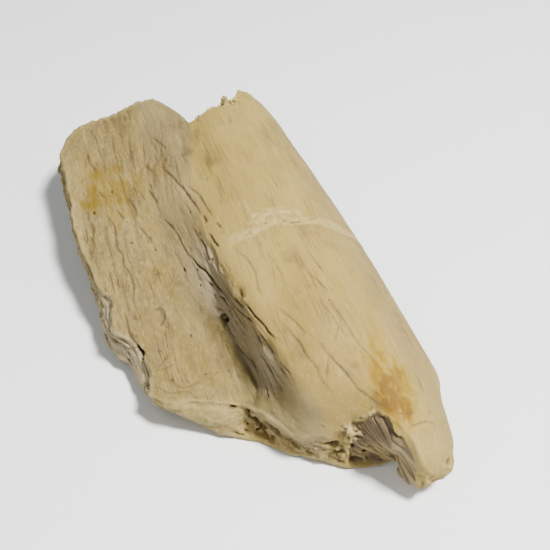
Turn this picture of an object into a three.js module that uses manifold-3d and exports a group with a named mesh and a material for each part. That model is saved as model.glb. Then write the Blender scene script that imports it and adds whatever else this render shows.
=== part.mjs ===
// A weathered piece of fossil dinosaur rib: a thick rounded bar with a thin, trough-shaped wing along
// its left side, broken at both ends and along the wing's edge.
//
// Units are millimetres and +Z is up. The piece lies on the plane z = 0. +X runs along the bar from the
// narrow near end to the wide far end, +Y points towards the wing, and the origin is the middle of the
// bounding box, at its base.

import * as THREE from "three";
import { mergeVertices } from "three/addons/utils/BufferGeometryUtils.js";
import { ImprovedNoise } from "three/addons/math/ImprovedNoise.js";
import Module from "manifold-3d";

// ---------------------------------------------------------------------------- driving dimensions

const LENGTH = 154; // along the bar, tip to wing corner
const WIDTH = 83; // from the bar's flank to the wing's edge
const HEIGHT = 32.2; // from the resting plane to the bar's crown

const ROWS = 72; // steps from the near break to the far break
const COLUMNS_PER_SPAN = 3; // steps between two neighbouring lines of the upper surface
const BREAK_STEPS = 6; // steps down a broken face
const OVERHANG_COLUMNS = 5; // columns over which the lower surface reaches out past the wing's upper edge

const LINE_END_REACH = 60; // how far each line of the bone is carried on past its ends
const LINE_END_SLOPE = 0.25; // the share of its last slope that a carried-on line keeps
const FULL_THICKNESS = 6; // where the bone is thinner than this, its broken faces get less relief
const FACE_GRAIN = { size: 3.1, height: 1.6 }; // the broken faces' lumps
const BALL_GRAIN = 0.45; // the size of a rough ball's lumps, for a ball of radius 1
const BALL_DETAIL = 2; // how often a rough ball's faces are split
const MERGE_DISTANCE = 0.001; // corners closer than this are one

const HALVINGS = 22; // enough to find a point on a section to a thousandth of a millimetre
const MEETING_ROUNDS = 8; // enough to settle where a column meets a broken edge

const BONE_COLOUR = 0xbfae86;

// ---------------------------------------------------------------------------- lines of the bone
// Each line follows one feature along the bone as [x, y, z], and is carried on straight past its ends.

// Over the top, from the wing's edge across the trough and the bar to the bar's outer flank.
const UPPER_LINES = {
  wingEdge: [
    [-32, 32, 12], [-23, 30, 12.5], [-15.5, 31.5, 13.2], [-11, 35.8, 15], [-5, 36.3, 16.3],
    [0, 35, 17], [5, 38, 17.7], [14, 39, 19], [27, 40.5, 20.5], [43, 39.5, 22], [67, 39, 23.5],
  ],
  wingOuter: [
    [-37, 27, 12.5], [-25, 26, 12.3], [-12, 27, 14.5], [3, 29.5, 17], [21, 31, 19.5],
    [41, 30.5, 22], [74, 28.5, 24.5],
  ],
  wingFloor: [
    [-38, 19, 12.3], [-27, 17, 10.5], [-16, 17, 11.5], [-3, 18.5, 14.5], [15, 20.5, 18],
    [34, 22, 21.5], [55, 20, 24.5], [76, 17, 25.5],
  ],
  trough: [
    [-44, 8, 12.3], [-39, 4.5, 10.6], [-32, 4, 10.5], [-24, 5.3, 12.2], [-15, 7.3, 15],
    [-4, 9.5, 18.7], [8, 11.5, 21.5], [24, 13.5, 24], [43, 12, 26], [76, 5.5, 27.5],
  ],
  wall: [
    [-55, 0.5, 11.5], [-46, 1.2, 15], [-36, 1.8, 17.5], [-25, 3.2, 19.5], [-15, 4.9, 21.5],
    [-4, 6.7, 23.3], [9, 7.8, 25.2], [24, 8.5, 26.5], [42, 7.5, 27.5], [71, 2, 28],
  ],
  ridge: [
    [-60, -8.5, 14.5], [-56, -5.5, 20.5], [-50, -2.6, 25.3], [-41, -0.8, 27.8], [-31, 1.2, 28.8],
    [-19, 3.2, 28.9], [-6, 4.8, 28.4], [8, 5, 28.2], [25, 3.7, 28.1], [44, 0.5, 28.5], [58, -3, 28.5],
  ],
  crownLeft: [
    [-60, -11.5, 21], [-56, -10.5, 27], [-48, -10, 30], [-33, -9, 31], [-17, -7.5, 31.5],
    [4, -7.5, 31.5], [27, -9, 31], [48, -11, 30.5], [62, -11, 30],
  ],
  crown: [
    [-64, -19.5, 26.5], [-57, -19.5, 29.5], [-42, -19, 31.5], [-24, -18, 32], [-4, -18, 31.8],
    [19, -19, 31], [43, -20, 30], [68, -22.5, 29.5],
  ],
  shoulder: [
    [-77, -27, 14], [-74, -27.5, 19], [-68, -28, 24], [-58, -29, 26.5], [-42, -29.5, 27.7],
    [-24, -29.5, 28], [-5, -29, 27.7], [17, -29, 27], [41, -29, 26.5], [68, -28, 26.3],
  ],
  flank: [
    [-77, -32.5, 11.5], [-74, -35.6, 12], [-70, -37.5, 12.5], [-64, -38.5, 13], [-58, -39.3, 14],
    [-51, -41.7, 14.5], [-43, -41.3, 15.5], [-24, -40.7, 16], [-6, -40.2, 16], [11, -39, 16],
    [29, -37.5, 16], [46, -36.3, 16], [66, -34, 16.5],
  ],
};

// Underneath, on from the flank back to the wing's edge.
const LOWER_LINES = {
  keelRight: [
    [-77, -29, 7.3], [-69, -31, 6], [-62, -32, 3.8], [-50, -32.5, 2.5], [-25, -32, 1.5],
    [10, -30.5, 2], [45, -28, 2.5], [66, -27, 4],
  ],
  keel: [
    [-74, -22, 6], [-69, -21.5, 7], [-66.5, -21, 4.6], [-64.5, -20.5, 1.3], [-61, -20, 0.2],
    [-52, -20, -0.4], [-30, -20, -0.4], [5, -18, 1], [40, -16, 1], [62, -16, 2.5],
  ],
  keelLeft: [
    [-62, -9, 0.8], [-50, -6, 0.8], [-30, -4, 1.4], [0, -3, 2.2], [30, -3, 0.8], [52, -4, -0.4],
    [64, -5, 0.8],
  ],
  wingRoot: [
    [-54, 2, 0.8], [-46, 8.5, -0.4], [-30, 9, 1.5], [-10, 9, 3.5], [15, 9, 5], [40, 8, 6.5],
    [70, 5, 9],
  ],
  wingFloorUnder: [
    [-40, 20, 3.2], [-27, 19, 2.6], [-12, 20, 3.8], [5, 22, 7], [25, 24, 10.5], [50, 23, 14],
    [74, 21, 15.5],
  ],
  wingEdgeUnder: [
    [-31, 31.2, 6.3], [-26, 31.9, 5.6], [-20, 33, 4.7], [-14, 35.3, 4.5], [-7, 38.8, 5.5],
    [1, 39.2, 7.5], [10, 39.5, 10], [30, 40.5, 13], [50, 40.8, 15], [68, 40.5, 16.5],
  ],
};

// ---------------------------------------------------------------------------- broken edges
// Where the surface stops, as [y, x] from the wing's edge to the flank. The upper and the lower surface
// break at different places, and the broken face runs between the two.

const NEAR_BREAK_UPPER = [
  [32, -32], [29.5, -35.7], [27, -37.6], [22, -37.4], [18.5, -38.2], [11, -41], [8.5, -43.6],
  [5, -48.4], [3.4, -50.1], [0, -55.6], [-2.2, -57.4], [-7.5, -59.5], [-10, -60.6], [-12, -58.5],
  [-15, -61.2], [-18, -63.4], [-20, -66.6], [-23, -70], [-24.3, -73], [-25, -76.2], [-27.5, -77.1],
  [-29.3, -77], [-30.8, -75.8], [-32.2, -76.6], [-34.2, -75.6], [-36, -73.4], [-38, -70],
];
const NEAR_BREAK_LOWER = [
  [32, -30], [29, -32.2], [25.6, -34.5], [24, -36.6], [20.8, -38.9], [17.5, -41.8], [14.3, -43.6],
  [10.2, -45.7], [6.2, -47.6], [4.5, -49.4], [0.8, -53.1], [-4.8, -57.1], [-10, -60.8], [-13, -62.3],
  [-17, -63.5], [-20.5, -64.2], [-22.3, -65.2], [-22.9, -68.5], [-23.6, -74], [-26, -76.8],
  [-31, -76.5], [-34.2, -75], [-38, -70],
];
const FAR_BREAK_UPPER = [
  [39, 62], [38.2, 67], [34, 71.5], [29, 73.6], [23.5, 74.5], [13, 76.7], [5.5, 76.9], [2.3, 71.5],
  [-1, 64.8], [-3.2, 57.8], [-6.5, 59.8], [-11.5, 61.8], [-17.4, 64.4], [-19.8, 62.7], [-21, 69.2],
  [-23.5, 70.3], [-27.3, 67.8], [-30.5, 64], [-34, 59.5],
];
const FAR_BREAK_LOWER = [
  [39, 62], [37, 66], [29, 71], [13, 73.5], [4, 70], [-3.5, 60.5], [-8, 62.5], [-14, 65],
  [-20, 66.5], [-28, 64.5], [-32, 62], [-34, 59.5],
];

// Where a broken face is worn back (depth above 0) or stands out (below 0): its place as y and as the
// share of the way down the face, and how far it spreads along the face and down it.
const NEAR_RELIEF = [
  { y: 19, down: 0.55, depth: -1.3, spread: 9, fall: 0.45 }, // the outer sheet, which reaches further
  { y: 7.5, down: 0.45, depth: 3, spread: 3, fall: 0.5 }, // the gap behind the outer sheet
  { y: 0, down: 0.55, depth: 1.5, spread: 4.5, fall: 0.35 },
  { y: -9.5, down: 0.4, depth: 1.2, spread: 2.5, fall: 0.35 },
  { y: -16, down: 0.65, depth: 3, spread: 4.2, fall: 0.35 }, // the hollow under the core
  { y: -20, down: 0.3, depth: -4.5, spread: 5, fall: 0.42 }, // the core that stands out
];
const FAR_RELIEF = [
  { y: 20, down: 0.5, depth: 1.5, spread: 10, fall: 0.4 },
  { y: -10, down: 0.55, depth: 3, spread: 6, fall: 0.35 },
  { y: -25, down: 0.5, depth: 3.5, spread: 5, fall: 0.4 },
];

// Lumps of soft inner bone that stand out of the far break: middle, and half-sizes along, across and up.
const FAR_LUMPS = [
  { at: [63.5, -17.3, 26], half: [8.2, 1.9, 2.6] },
  { at: [60.3, -12.2, 26], half: [6.6, 2.3, 2.4] },
  { at: [58.8, -7.8, 25.5], half: [6, 2.5, 2.4] },
];

const FAR_LUMP_ROUGHNESS = 0.35;

const NUTRIENT_HOLE = { at: [-14.5, 6.3, 15], radius: 1.6, innerRadius: 0.8, depth: 8, lean: 0.75, sides: 10 };

// Where a flake has come off the ridge: middle, and half-sizes along, across and down.
const FLAKE = { at: [-18.5, 3.3, 29], half: [2.6, 1.5, 2.2], roughness: 0.25 };

// ---------------------------------------------------------------------------- smooth body

// A line as a function of x that returns [y, z].
function lineAlongX(points) {
  const extended = [carriedOn(points[1], points[0]), ...points, carriedOn(points.at(-2), points.at(-1))];
  const curve = new THREE.CubicInterpolant(
    extended.map((p) => p[0]),
    extended.flatMap((p) => p.slice(1)),
    2,
  );
  return (x) => Array.from(curve.evaluate(x));
}

// A point past the end of a line, on a gentler slope than its last step.
function carriedOn(before, end) {
  const reach = LINE_END_REACH / Math.abs(end[0] - before[0]);
  return [
    end[0] + (end[0] - before[0]) * reach,
    end[1] + (end[1] - before[1]) * reach * LINE_END_SLOPE,
    end[2] + (end[2] - before[2]) * reach * LINE_END_SLOPE,
  ];
}

const upperLines = Object.values(UPPER_LINES).map(lineAlongX);
const lowerLines = Object.values(LOWER_LINES).map(lineAlongX);
const FLANK = upperLines.length - 1; // the upper line where the lower surface starts
const LAST = upperLines.length + lowerLines.length - 1;

// The bone's outline in the plane across the bar at x: a curve of (y, z) from the wing's upper edge
// over the bar and back underneath to the wing's lower edge.
function sectionAt(x) {
  const points = [...upperLines, ...lowerLines].map((line) => new THREE.Vector3(x, ...line(x)));
  return new THREE.CatmullRomCurve3(points, false, "centripetal");
}

const upperPoint = (x, column) => sectionAt(x).getPoint(column / COLUMNS_PER_SPAN / LAST);

// The point of the lower surface right under y, found on the section by halving.
function lowerPoint(x, y) {
  const section = sectionAt(x);
  let low = FLANK / LAST;
  let high = 1;
  for (let i = 0; i < HALVINGS; i++) {
    const middle = (low + high) / 2;
    if (section.getPoint(middle).y < y) low = middle;
    else high = middle;
  }
  return section.getPoint(high);
}

// The x where a broken edge crosses y.
function edgeAt(edge, y) {
  const after = edge.findIndex((p) => p[0] <= y);
  if (after === 0) return edge[0][1];
  if (after < 0) return edge.at(-1)[1];
  const [y0, x0] = edge[after - 1];
  const [y1, x1] = edge[after];
  return THREE.MathUtils.mapLinear(y, y0, y1, x0, x1);
}

// Where a column of the surface meets a broken edge. The column's y changes slowly with x, so a few
// rounds settle it.
function meeting(edge, pointAt) {
  let x = edgeAt(edge, pointAt(0).y);
  for (let i = 0; i < MEETING_ROUNDS; i++) x = (x + edgeAt(edge, pointAt(x).y)) / 2;
  return x;
}

const noise = new ImprovedNoise();

// How far a grainy surface stands in or out at a point.
function grain(p, size, height) {
  return height * noise.noise(p.x / size, p.y / size, p.z / size);
}

// How far the relief takes a broken face back at y and at a share of the way down.
function reliefAt(relief, y, down) {
  return relief.reduce((sum, r) => {
    const off = Math.hypot((y - r.y) / r.spread, (down - r.down) / r.fall);
    return sum + r.depth * Math.max(0, 1 - off * off);
  }, 0);
}

// Rows of the upper and the lower surface. Column i of one lies over column i of the other, apart from
// the wing's edge, where the lower surface reaches out further, and both end in the flank.
function surfaces() {
  const columns = FLANK * COLUMNS_PER_SPAN;
  const upper = [];
  const lower = [];
  for (let i = 0; i <= columns; i++) {
    const inShare = Math.min(1, i / OVERHANG_COLUMNS);
    const top = (x) => upperPoint(x, i);
    const bottom = (x) => {
      if (i === columns) return top(x);
      const beyond = sectionAt(x).getPoint(1).y - upperPoint(x, 0).y;
      return lowerPoint(x, top(x).y + beyond * (1 - inShare));
    };
    const topEnds = [meeting(NEAR_BREAK_UPPER, top), meeting(FAR_BREAK_UPPER, top)];
    const bottomEnds =
      i === columns ? topEnds : [meeting(NEAR_BREAK_LOWER, bottom), meeting(FAR_BREAK_LOWER, bottom)];
    for (let k = 0; k <= ROWS; k++) {
      (upper[k] ??= []).push(top(THREE.MathUtils.lerp(...topEnds, k / ROWS)));
      (lower[k] ??= []).push(bottom(THREE.MathUtils.lerp(...bottomEnds, k / ROWS)));
    }
  }
  return { upper, lower, columns };
}

// A broken face between an upper and a lower rim, as steps down from one to the other. Inner points are
// moved along `inward` by the relief and the grain.
function brokenFace(upperRim, lowerRim, inward, relief) {
  const steps = [];
  for (let q = 0; q <= BREAK_STEPS; q++) {
    const down = q / BREAK_STEPS;
    steps.push(
      upperRim.map((top, i) => {
        const p = top.clone().lerp(lowerRim[i], down);
        const thick = Math.min(1, top.distanceTo(lowerRim[i]) / FULL_THICKNESS);
        if (q === 0 || q === BREAK_STEPS) return p;
        const back = reliefAt(relief, p.y, down) + grain(p, FACE_GRAIN.size, FACE_GRAIN.height);
        return p.addScaledVector(inward, back * thick);
      }),
    );
  }
  return steps;
}

// Collects quads of points into one closed mesh. A grid is rows of points, and `flip` turns its faces.
class Skin {
  positions = [];

  triangle(a, b, c) {
    for (const p of [a, b, c]) this.positions.push(p.x, p.y, p.z);
  }

  grid(rows, flip = false) {
    for (let k = 0; k + 1 < rows.length; k++)
      for (let i = 0; i + 1 < rows[k].length; i++) {
        const [a, b, c, d] = [rows[k][i], rows[k][i + 1], rows[k + 1][i + 1], rows[k + 1][i]];
        if (flip) {
          this.triangle(a, c, b);
          this.triangle(a, d, c);
        } else {
          this.triangle(a, b, c);
          this.triangle(a, c, d);
        }
      }
  }
}

function bodyGeometry() {
  const { upper, lower } = surfaces();
  const rest = (rows) => rows.forEach((row) => row.forEach((p) => (p.z = Math.max(p.z, 0))));
  rest(lower);
  const skin = new Skin();
  skin.grid(upper);
  skin.grid(lower, true);
  const near = brokenFace(upper[0], lower[0], new THREE.Vector3(1, 0, 0), NEAR_RELIEF);
  const far = brokenFace(upper[ROWS], lower[ROWS], new THREE.Vector3(-1, 0, 0), FAR_RELIEF);
  skin.grid(near, true);
  skin.grid(far);

  // The wing's edge closes the body between the first columns. Its ends are the broken faces' own.
  const edge = brokenFace(
    upper.map((row) => row[0]),
    lower.map((row) => row[0]),
    new THREE.Vector3(0, -1, 0),
    [],
  );
  edge.forEach((row, q) => {
    row[0] = near[q][0];
    row[ROWS] = far[q][0];
  });
  skin.grid(edge);

  return new THREE.BufferGeometry().setAttribute(
    "position",
    new THREE.Float32BufferAttribute(skin.positions, 3),
  );
}

// ---------------------------------------------------------------------------- solids

const wasm = await Module();
wasm.setup();

function solidFrom(geometry) {
  const bare = geometry.clone();
  bare.deleteAttribute("normal");
  bare.deleteAttribute("uv");
  const merged = mergeVertices(bare, MERGE_DISTANCE);
  return new wasm.Manifold(
    new wasm.Mesh({
      numProp: 3,
      vertProperties: merged.attributes.position.array,
      triVerts: new Uint32Array(merged.index.array),
    }),
  );
}

function geometryFrom(solid) {
  const { vertProperties, triVerts } = solid.getMesh();
  return new THREE.BufferGeometry()
    .setAttribute("position", new THREE.BufferAttribute(vertProperties, 3))
    .setIndex(new THREE.BufferAttribute(triVerts, 1));
}

// The hole where a blood vessel entered the bone: a short leaning bore that narrows inwards.
function nutrientHole({ at, radius, innerRadius, depth, lean, sides }) {
  const bore = new THREE.CylinderGeometry(radius, innerRadius, depth, sides);
  bore.rotateX(Math.PI / 2 - lean);
  bore.translate(...at);
  return solidFrom(bore);
}

// A rough ball stretched to the half-sizes, for lumps that stand out and scoops that are taken off.
function roughBall({ at, half }, roughness) {
  const ball = new THREE.IcosahedronGeometry(1, BALL_DETAIL);
  const position = ball.attributes.position;
  const p = new THREE.Vector3();
  for (let i = 0; i < position.count; i++) {
    p.fromBufferAttribute(position, i);
    p.multiplyScalar(1 + grain(p, BALL_GRAIN, roughness));
    position.setXYZ(i, ...p);
  }
  ball.scale(...half);
  ball.translate(...at);
  return solidFrom(ball);
}

function ribGeometry() {
  let body = solidFrom(bodyGeometry());
  for (const lump of FAR_LUMPS) body = body.add(roughBall(lump, FAR_LUMP_ROUGHNESS));
  body = body.subtract(roughBall(FLAKE, FLAKE.roughness)).subtract(nutrientHole(NUTRIENT_HOLE));
  const geometry = geometryFrom(body);
  geometry.computeBoundingBox();
  const size = geometry.boundingBox.getSize(new THREE.Vector3());
  const middle = geometry.boundingBox.getCenter(new THREE.Vector3());
  geometry.translate(-middle.x, -middle.y, -geometry.boundingBox.min.z);
  geometry.scale(LENGTH / size.x, WIDTH / size.y, HEIGHT / size.z);
  geometry.computeVertexNormals();
  return geometry;
}

const fossil = new THREE.Group();
const rib = new THREE.Mesh(
  ribGeometry(),
  new THREE.MeshStandardMaterial({ color: BONE_COLOUR, roughness: 0.85, metalness: 0 }),
);
rib.name = "rib_fragment";
fossil.add(rib);

export default fossil;
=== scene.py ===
"""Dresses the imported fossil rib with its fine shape, its material, a floor, light and a camera.

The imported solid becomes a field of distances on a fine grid. Cracks, hollows, layers and spongy bone are
cut into that field, and the new skin that comes out of it gets the grain of the bone. Lengths are in
millimetres in the part's own frame until the skin is handed to Blender in metres.
"""

import math

import bpy
import numpy as np
import openvdb as vdb
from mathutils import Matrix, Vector


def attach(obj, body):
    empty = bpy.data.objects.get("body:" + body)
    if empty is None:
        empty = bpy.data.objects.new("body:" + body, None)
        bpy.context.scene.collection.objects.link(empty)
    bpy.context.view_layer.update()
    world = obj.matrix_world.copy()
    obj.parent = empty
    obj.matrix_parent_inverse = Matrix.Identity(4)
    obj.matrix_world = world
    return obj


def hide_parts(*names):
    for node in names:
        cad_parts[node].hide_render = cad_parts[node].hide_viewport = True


MM = 0.001
GRID = 0.3  # distance between grid points
REACH = 12  # grid points on each side of the surface that hold true distances
MARGIN = 14  # grid points left free around the solid
WEAR_REACH = 3.4  # how far from the surface wear changes the field
NO_TOP, NO_BOTTOM = -99, 99  # the upper and lower side's height where there is no solid
NORMAL_STEPS = 0.5 * np.eye(3, dtype=np.float32)  # how far the surface's slope is measured along each axis
STEP = 0.4  # between the points of a traced crack or groove
SLICE = 0.3  # half the length of one slice of a groove, so that the slices overlap
SKIN_TRIANGLES = 190_000
CRACKS_ABOVE = 75  # how many random ones are tried on the wing and in the trough
CRACKS_BELOW = 120  # and on the underside and the flank
PORES = 90

SMOOTHING = 1.3  # how far the solid's flat faces are evened out
EDGE_SMOOTHING = 0.4  # the same where the solid has a real edge

# The rims of the two breaks, seen from above, as (y, x).
NEAR_RIM = [
    (-38, -70), (-36, -73.2), (-34, -75.4), (-30.6, -75.6), (-27.3, -76.9), (-24.8, -76), (-24, -72.8),
    (-22.8, -69.8), (-19.8, -66.4), (-17.8, -63.2), (-14.8, -61), (-11.8, -58.3), (-9.8, -60.4),
    (-7.3, -59.3), (-2, -57.2), (0.2, -55.4), (3.6, -49.9), (5.2, -48.2), (8.7, -43.4), (11.2, -40.8),
    (18.7, -38), (22.7, -37.2), (27.2, -37.4), (29.7, -35.5), (32.2, -31.8),
]
FAR_RIM = [
    (-34, 59.7), (-30.3, 64.2), (-27.1, 68), (-23.3, 70.5), (-20.8, 69.4), (-19.6, 62.9), (-17.2, 64.6),
    (-11.3, 62), (-6.3, 60), (-3, 58), (-0.8, 65), (2.5, 71.7), (5.7, 77), (13.2, 76.8), (23.7, 74.6),
    (29.2, 73.7), (34.1, 71.6), (38.2, 67.1), (39, 62.1),
]

# The ridge's crest and the trough's bed along the bar, as (x, y).
RIDGE = [
    (-60, -8.3), (-50, -2.4), (-41, -0.6), (-31, 1.4), (-19, 3.4), (-6, 5), (8, 5.2), (25, 3.9), (44, 0.7),
    (60, -3),
]
TROUGH = [
    (-44, 8.2), (-39, 4.7), (-32, 4.2), (-24, 5.5), (-15, 7.5), (-4, 9.7), (8, 11.7), (24, 13.7), (43, 12.2),
    (76, 5.7),
]

# Open cracks: points on them as (x, y) on the upper side, or (x, y, z); then how wide and how deep they look.
CRACKS = [
    ([(42, 11), (38.5, 10), (35.5, 8.6), (32.5, 7.9), (28.5, 6.8), (24.5, 6.3), (21, 5.6), (15.5, 4.9)],
     0.75, 1.7),
    ([(14, 4.5), (10.8, 4.2)], 0.9, 1.8),
    ([(28, 5), (23, 3.6), (19.5, 3), (16, 2.8), (12.5, 2.3)], 0.5, 1.0),
    ([(8.5, 2), (6, 1.6)], 0.65, 1.2),
    ([(6, 4.9), (2.8, 4.4), (-0.4, 3.8)], 0.85, 1.8),
    ([(56, 9.8), (48.5, 7.5)], 0.5, 0.8),
    ([(45, 15), (40.5, 13.5)], 0.6, 0.8),
    ([(36.6, 15.7), (34.6, 15.4)], 0.85, 1.1),
    ([(34.7, 16.2), (31.5, 15.5), (28, 15)], 0.65, 1.2),
    ([(34.4, 18.7), (32, 18.1)], 0.6, 0.8),
    ([(35, 22.7), (33, 22.2), (30.3, 21.6), (27.7, 21.8)], 0.75, 1.3),
    ([(24, 21.6), (20, 20.5), (17.7, 20.7)], 0.5, 0.9),
    ([(19.3, 20), (17.5, 19.7)], 0.6, 0.9),
    ([(21.5, 14.4), (18, 13.2), (14, 12.4), (9.7, 11.8), (5, 10.7)], 0.6, 1.3),
    ([(5, 10.7), (1, 9.5), (-2.3, 8.2), (-5.6, 7.5), (-8, 6.8), (-10.3, 6.2)], 0.95, 2.2),
    ([(-10.3, 6.8, 19.6), (-12.3, 6.1, 20), (-14, 5.6, 19.5)], 0.9, 1.6),
    ([(-12.8, 5.3, 22.4), (-15.3, 5, 22.2), (-17.7, 4.5, 22), (-21, 3.9, 23), (-24.1, 3.4, 24.7),
      (-27.5, 2.9, 26.4)], 1.0, 3.2),
    ([(-22.3, 3.2, 27.9), (-25.4, 2.6, 28.1), (-28.3, 1.9, 28.7), (-30.8, 1.1, 29), (-33.7, 0.5, 28.8),
      (-36.4, -0.5, 28.8)], 0.8, 2.4),
    ([(-28, 2.9, 25.2), (-31, 2.4, 24), (-34.5, 1.6, 23.6)], 0.8, 2.2),
    ([(-14, 4.6, 24), (-18, 4, 25.3), (-22, 3.3, 26.4)], 0.8, 2.4),
    ([(-31, 2, 26.6), (-35, 1.2, 26), (-39, 0.4, 25.6)], 0.7, 2),
    ([(-42.3, -0.2, 25.7), (-44.5, -0.7, 25.8), (-46.3, -1.3, 26)], 0.5, 0.7),
    ([(31, 30), (26, 29), (21.8, 29.3), (18.2, 29.6), (15.4, 28.7), (11.7, 29.4), (8, 28.2), (4.9, 28.3),
      (0.1, 28.9), (-2.1, 29.8)], 0.55, 1.0),
    ([(32, 27), (28.2, 25.8)], 0.55, 0.8),
    ([(59, 31), (53, 30.6), (49.3, 29.9)], 0.5, 0.8),
    ([(41.2, 30.6), (38.1, 29.6)], 0.6, 1.0),
    ([(34, 35.4), (30.7, 35.8), (27.4, 34.8), (22.8, 36), (18, 35.9)], 0.45, 0.7),
    ([(-5.6, 32.6), (-9.2, 32.7), (-11.6, 32.5), (-13.4, 32.2), (-15.9, 31.1), (-18.4, 30.3)], 0.9, 1.7),
]

# Hairlines, as points on them.
HAIRLINES = [
    [(-4.2, 0.2), (-8.6, -1.4), (-11, -1.8), (-15, -2.5), (-20.5, -1.3), (-23.3, -1.6)],
    [(-29.3, -4.5), (-33, -6.3), (-36.4, -7.6), (-38.8, -8.2)],
    [(-32.5, -3.5), (-37, -4.9), (-40.8, -5.8), (-44.6, -6.2), (-48.4, -7.5), (-50.2, -7.6), (-53, -8.3),
     (-55, -9.3)],
    [(-42, -10), (-47, -11.3), (-52.5, -13.4), (-57, -15), (-59.6, -17.2), (-62.3, -19)],
    [(-32, -15.3), (-39.5, -16.3), (-43.2, -16.9)],
    [(-31, -17.2), (-39, -18.3), (-44.4, -18.8), (-47.2, -19.7), (-53.4, -21.5)],
    [(-40, -16.3), (-43.6, -14.2)],
    [(-47.2, -11.2), (-51.4, -9)],
    [(-12.4, -17.8), (-17.3, -18.6), (-21.2, -19.3)],
    [(-21.8, -16), (-27, -17.7)],
    [(-69.3, -23), (-68.7, -24.7), (-68.2, -27), (-67.8, -29.2), (-68, -31.5)],
    [(-65.6, -22), (-66, -23.7), (-65.9, -25.8)],
    [(-24.4, 29), (-24.2, 26), (-23.6, 23.2)],
    [(-23.8, 28), (-21.4, 25.2), (-20, 24)],
    [(-28, 26.2), (-30, 24.8), (-32, 23.2), (-31.4, 20.5), (-30.7, 18)],
    [(-29.6, 29.5), (-32.8, 27), (-32.9, 24.6), (-33.4, 22), (-36.8, 20)],
]

# Egg-shaped holes, the nutrient hole first and then those in the near break: middle, half-sizes, and turn
# about Z in degrees.
HOLLOWS = [
    ((-15.4, 6.9, 15.4), (1.8, 1.2, 1.4), 44),
    ((-58.9, -8.8, 9.6), (1.6, 1.9, 1.4), 20), ((-55.9, -3.7, 4.3), (1.2, 1.5, 0.5), 30),
    ((-52.6, 1.2, 9.2), (1.0, 1.1, 0.8), 30), ((-57.9, -6, 17), (0.6, 0.5, 0.5), 0),
    ((-40.2, 11.9, 9.8), (0.8, 1.5, 0.5), 20), ((-74.9, -32.9, 13.8), (1.2, 1.1, 0.9), 0),
    ((-60.2, -17.2, 5.3), (0.9, 0.9, 0.8), 0), ((-58.8, -14, 7.7), (0.8, 0.7, 0.8), 0),
]

# The part of the wing's upper side that has fine cracks, as (x, y).
WING = [(-22, 4), (-16, 22), (4, 31), (30, 35), (58, 33), (70, 24), (70, 6), (40, 2), (10, 3)]

# Where a thin flake has come off the wing, as (x, y).
FLAKE = [(-3.7, 22.5), (-5.8, 21.7), (-7.8, 21.8), (-9.6, 22.8), (-11, 24), (-8.5, 26.2), (-5, 25.6)]

# The low edge of the leaves of bone on the trough's wall: how far it is from the ridge, as (x, distance).
LEAVES_EDGE = [(-48, 4), (-36, 4.2), (-20, 3.6), (-6, 3.4), (6, 2.6), (20, 2)]

# Open gaps: points on them as (x, y, z), width, depth, and then what groove() is told about them.
GAPS = [
    # the fissure beside the near break's outer sheet, and the slit under that sheet
    ([(-42.4, 9.2, 11), (-42.9, 8.1, 7.6), (-44.3, 7, 5.4), (-46.1, 5.9, 4.3), (-47.4, 5.3, 3)], 1.5, 2.2,
     dict(close=0.6)),
    ([(-43.4, 13.2, 2.4), (-44.2, 11.7, 2), (-44.8, 10.2, 1.6)], 0.5, 1.2, dict()),
    # between the wing's upper sheet and the swelling under it, then along the wing's edge
    ([(-15.2, 32.6, 12.2), (-17.5, 31.8, 11.6), (-20, 31.4, 11), (-23, 32.2, 10.4), (-25.5, 33, 9.8)],
     1.7, 4.2, dict(into=(0.1, -1, -0.12), fade=False)),
    ([(4, 39, 14.4), (2.4, 39.2, 12), (1, 39.6, 9.4)], 1.1, 4.2, dict(into=(-0.15, -1, 0))),
    ([(43, 37.6, 21.2), (36, 38.8, 20.4), (29, 39.4, 19.6), (22, 40.2, 18.8), (15, 40.2, 17.8),
      (8, 39.6, 16.6)], 0.6, 1.6, dict(into=(0, -1, -0.1))),
]

# The pale healed scar across the bar, as (y, x), and how wide it is.
SCAR = [(-40, -2.5), (-33, -0.8), (-25, 0.6), (-17.5, 0.9), (-9, 0.8), (-2, 0), (2, -1)]
SCAR_WIDTH = 1.5

# Patches of a stain on the upper side: strength, middle (x, y), half-sizes along x and y, and seed.
ORANGE_STAIN = [
    (0.75, -59.5, -22.5, 10, 7, 61), (0.7, -60.7, -21.9, 3.5, 3, 62), (0.5, -65, -24.5, 2.5, 2, 70),
    (0.3, -47, -24, 8, 6, 63),
]
OCHRE_STAIN = [
    (1.7, 40, 28, 11, 8.5, 64), (0.5, 41, 12.7, 5, 4, 65), (0.35, 5, 21, 9, 6, 66),
    (0.3, -22, 20, 17, 13, 67), (0.3, -30, -6, 13, 7, 68), (0.3, 36, -5, 7, 5, 69),
]

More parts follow.
